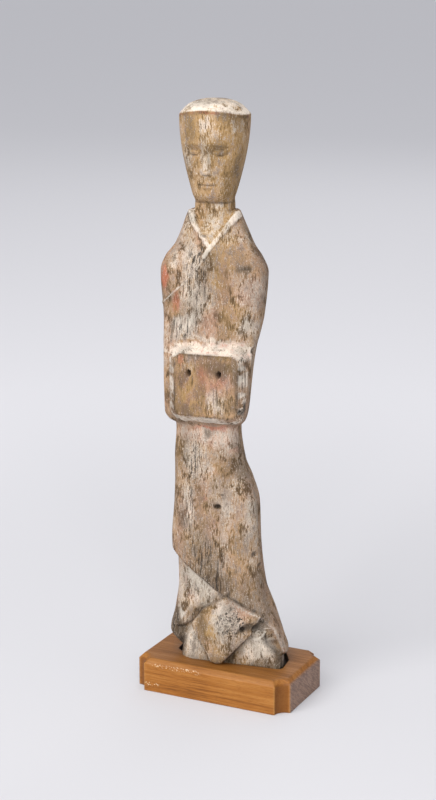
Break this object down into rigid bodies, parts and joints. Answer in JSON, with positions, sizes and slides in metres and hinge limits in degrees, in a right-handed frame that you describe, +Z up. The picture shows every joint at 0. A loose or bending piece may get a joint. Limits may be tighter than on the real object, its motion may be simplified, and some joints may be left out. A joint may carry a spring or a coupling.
{
  "type": "tomb figurine",
  "caption": "Weathered carved wooden tomb figurine of a robed attendant with joined sleeves and lost hands, set in the recess of a coved wooden stand.",
  "frame": {"origin": "middle of the stand's underside", "axes": "+Z up, -Y towards the stand's front face, +X to the viewer's right along the stand"},
  "size_m": [0.161, 0.094, 0.567],
  "materials": {
    "weathered_painted_wood": "dry weathered wood with remains of white, cream and red paint",
    "varnished_wood": "satin varnish over straight-grained hardwood"
  },
  "bodies": {
    "root": {"figure": "weathered_painted_wood", "stand": "varnished_wood"}
  },
  "joints": []
}
